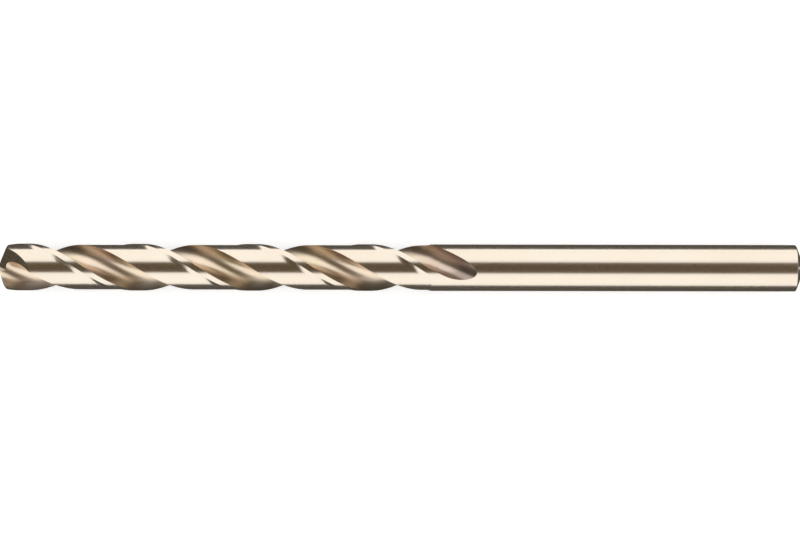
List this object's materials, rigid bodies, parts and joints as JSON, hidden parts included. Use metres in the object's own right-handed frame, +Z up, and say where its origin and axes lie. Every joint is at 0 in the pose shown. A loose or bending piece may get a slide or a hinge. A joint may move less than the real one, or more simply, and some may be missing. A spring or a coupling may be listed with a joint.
{
  "type": "twist drill bit",
  "caption": "Right-hand jobber-length twist drill with helical flutes, a 135 degree split point and a plain cylindrical shank.",
  "frame": {"origin": "on the surface that the drill lies on, midway along its length, straight below its axis", "axes": "+X along the drill's axis from the point to the shank end, +Z up"},
  "size_m": [0.086, 0.005, 0.005],
  "materials": {
    "cobalt_steel": "ground and polished high-speed steel, straw-bronze tempered"
  },
  "bodies": {
    "root": {"twist_drill": "cobalt_steel"}
  },
  "joints": []
}
